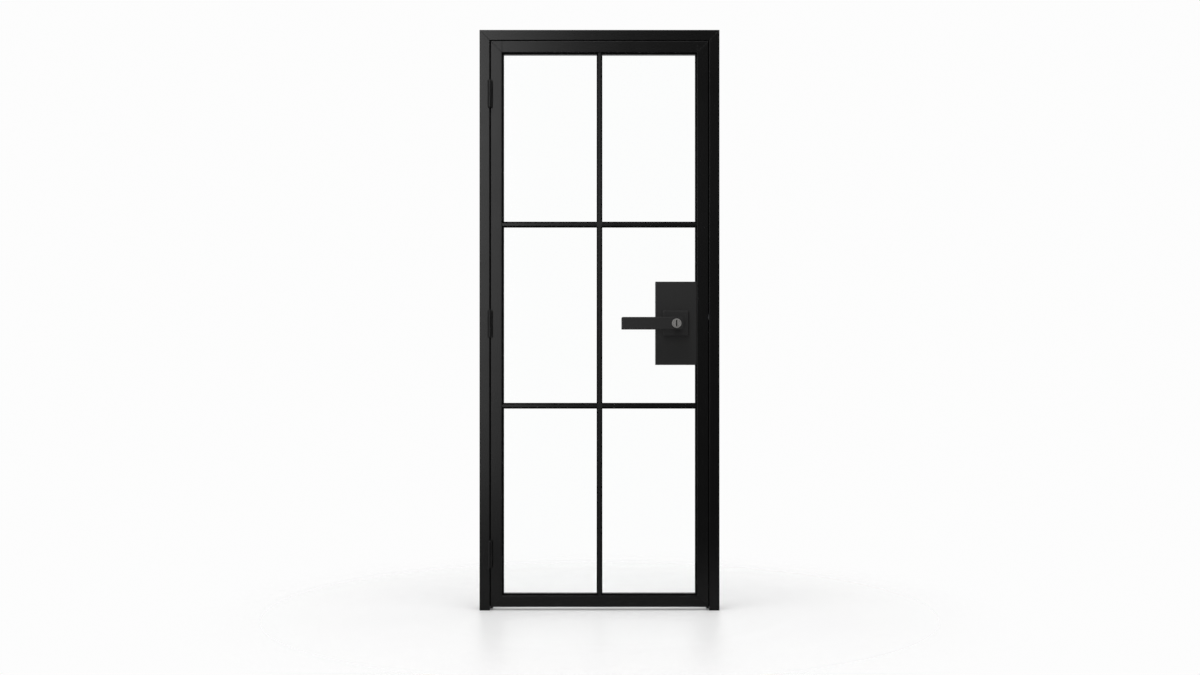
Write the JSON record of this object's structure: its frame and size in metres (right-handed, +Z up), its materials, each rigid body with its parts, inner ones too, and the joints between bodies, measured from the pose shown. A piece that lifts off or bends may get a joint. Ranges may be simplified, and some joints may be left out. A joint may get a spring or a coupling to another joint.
{
  "type": "glazed steel door with frame",
  "caption": "Steel-framed glass door in its own frame: a slim leaf with glazing bars, hung on lift-off hinges, with a lever lock in a box on the lock stile.",
  "frame": {"origin": "on the floor, at mid width and at the middle of the leaf's thickness", "axes": "+Z up, -Y is the pictured front, +X towards the lock side"},
  "size_m": [0.84, 0.1714, 2.032],
  "materials": {
    "black_steel": "satin black powder coat",
    "lock_black": "matt black powder coat",
    "nickel": "satin nickel plate",
    "plain_steel": "zinc plated",
    "rubber": "matt black",
    "glass": "clear float glass"
  },
  "bodies": {
    "frame": {"hinge_jamb": "black_steel", "strike_jamb": "black_steel", "head": "black_steel", "hinge_side_seal": "rubber", "strike_side_seal": "rubber", "head_seal": "rubber", "fixing_sleeves": "plain_steel", "foot_plates": "black_steel", "strike_plate": "plain_steel", "strike_box": "rubber", "strike_screws": "plain_steel", "bottom_jamb_knuckle": "black_steel", "middle_jamb_knuckle": "black_steel", "top_jamb_knuckle": "black_steel", "hinge_pins": "plain_steel", "hinge_washers": "black_steel", "jamb_hinge_screws": "black_steel"},
    "leaf": {"hinge_stile": "black_steel", "lock_stile": "black_steel", "top_rail": "black_steel", "bottom_rail": "black_steel", "vertical_bar": "black_steel", "upper_left_bar": "black_steel", "upper_right_bar": "black_steel", "lower_left_bar": "black_steel", "lower_right_bar": "black_steel", "bottom_left_pane": "glass", "middle_left_pane": "glass", "top_left_pane": "glass", "bottom_right_pane": "glass", "middle_right_pane": "glass", "top_right_pane": "glass", "glazing_gaskets": "rubber", "glazing_beads": "black_steel", "bead_screws": "black_steel", "setting_blocks": "rubber", "bottom_leaf_knuckle": "black_steel", "middle_leaf_knuckle": "black_steel", "top_leaf_knuckle": "black_steel", "leaf_hinge_screws": "black_steel", "lock_box_front": "lock_black", "lock_box_back": "lock_black", "lock_case": "plain_steel", "lock_case_cover": "plain_steel", "case_rivets": "plain_steel", "face_plate": "plain_steel", "face_plate_screws": "plain_steel", "outer_rose": "lock_black", "inner_rose": "lock_black", "rose_bolts": "lock_black", "latch_spring": "plain_steel"},
    "lever": {"outer_lever": "lock_black", "inner_lever": "lock_black", "spindle": "plain_steel", "follower": "plain_steel", "outer_cylinder": "nickel", "inner_cylinder": "nickel"},
    "latch": {"latch_bolt": "plain_steel"},
    "outer_plug": {"outer_plug": "nickel"},
    "inner_plug": {"inner_plug": "nickel"}
  },
  "joints": [
    {"name": "leaf_swing", "type": "hinge", "parent": "frame", "child": "leaf", "pos_m": [-0.3825, -0.0313, 0], "axis": [0, 0, -1], "range_deg": [0, 170]},
    {"name": "lever_turn", "type": "hinge", "parent": "leaf", "child": "lever", "pos_m": [0.267, 0, 1.005], "axis": [0, -1, 0], "range_deg": [0, 45], "stiffness_Nm_per_rad": 3, "springref_deg": -57.3},
    {"name": "latch_slide", "type": "slide", "parent": "leaf", "child": "latch", "axis": [-1, 0, 0], "range_m": [0, 0.012], "deforming": ["latch_spring"]},
    {"name": "outer_plug_turn", "type": "hinge", "parent": "lever", "child": "outer_plug", "pos_m": [0.267, 0, 1.005], "axis": [0, 1, 0], "range_deg": [0, 90]},
    {"name": "inner_plug_turn", "type": "hinge", "parent": "lever", "child": "inner_plug", "pos_m": [0.267, 0, 1.005], "axis": [0, -1, 0], "range_deg": [0, 90]}
  ],
  "couplings": [
    {"joint": "latch_slide", "follows": "lever_turn", "m_per_rad": 0.01527}
  ]
}
